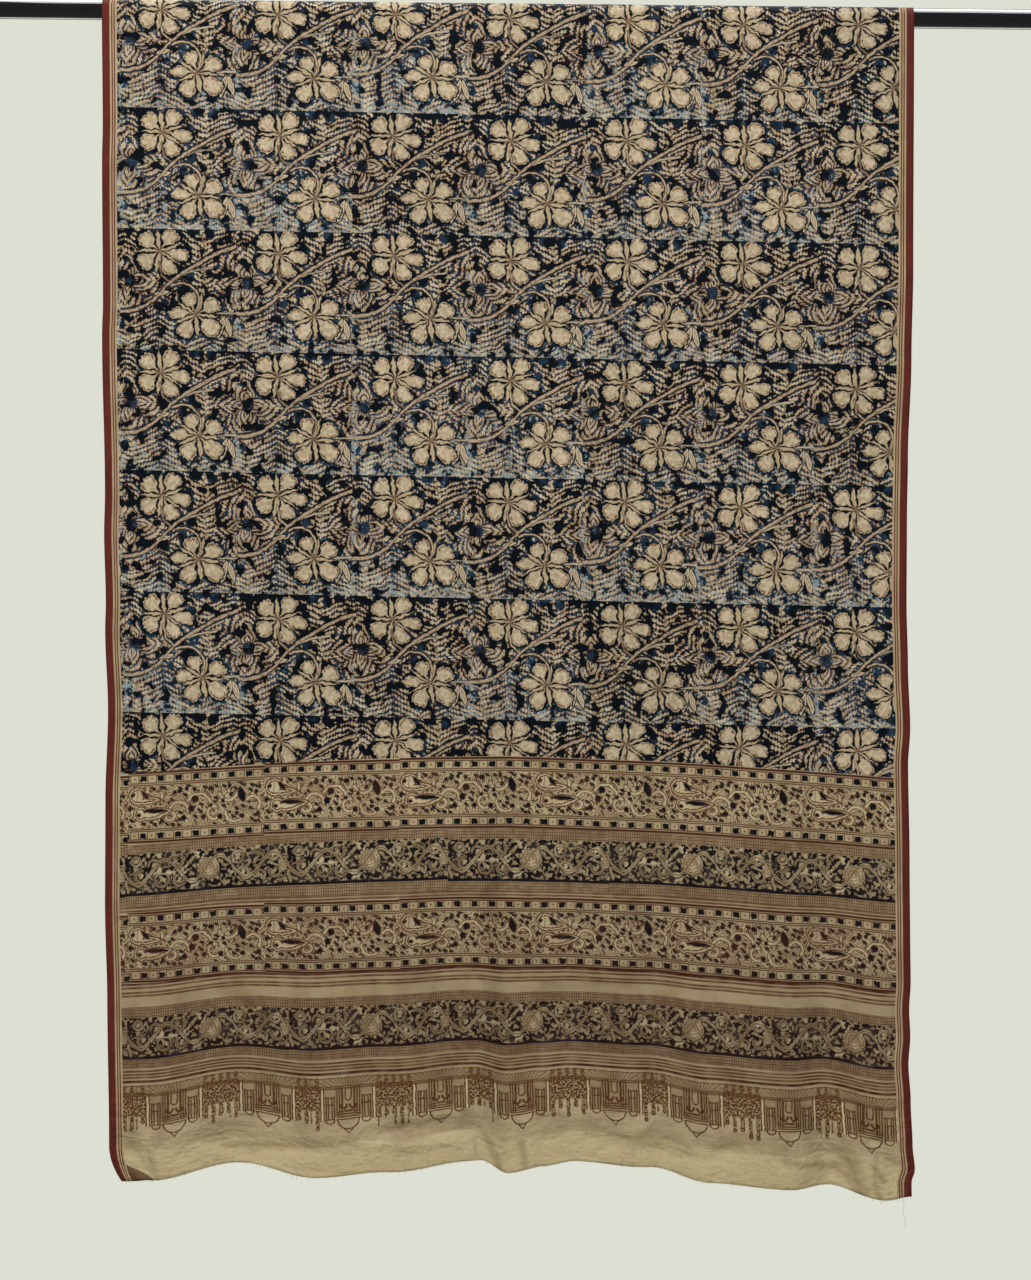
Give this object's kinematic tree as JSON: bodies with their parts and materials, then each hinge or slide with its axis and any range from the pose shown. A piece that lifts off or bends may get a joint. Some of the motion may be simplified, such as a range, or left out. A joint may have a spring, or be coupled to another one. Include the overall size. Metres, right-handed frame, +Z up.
{
  "type": "kalamkari dupatta on a rod",
  "caption": "Long block-printed cotton dupatta with a floral field, banded end border and woven edges, hanging in two drops over a plain round rod.",
  "frame": {"origin": "on the rod's axis, halfway along the rod", "axes": "+X along the rod to the right, -Y out of the front drop towards the viewer, +Z up"},
  "size_m": [1.24, 0.0402, 1.3241],
  "materials": {
    "printed_cotton": "thin matte cotton, block printed in indigo, rust and cream",
    "rod_enamel": "gloss black enamel on a steel tube"
  },
  "bodies": {
    "root": {"dupatta": "printed_cotton", "rod": "rod_enamel"}
  },
  "joints": []
}
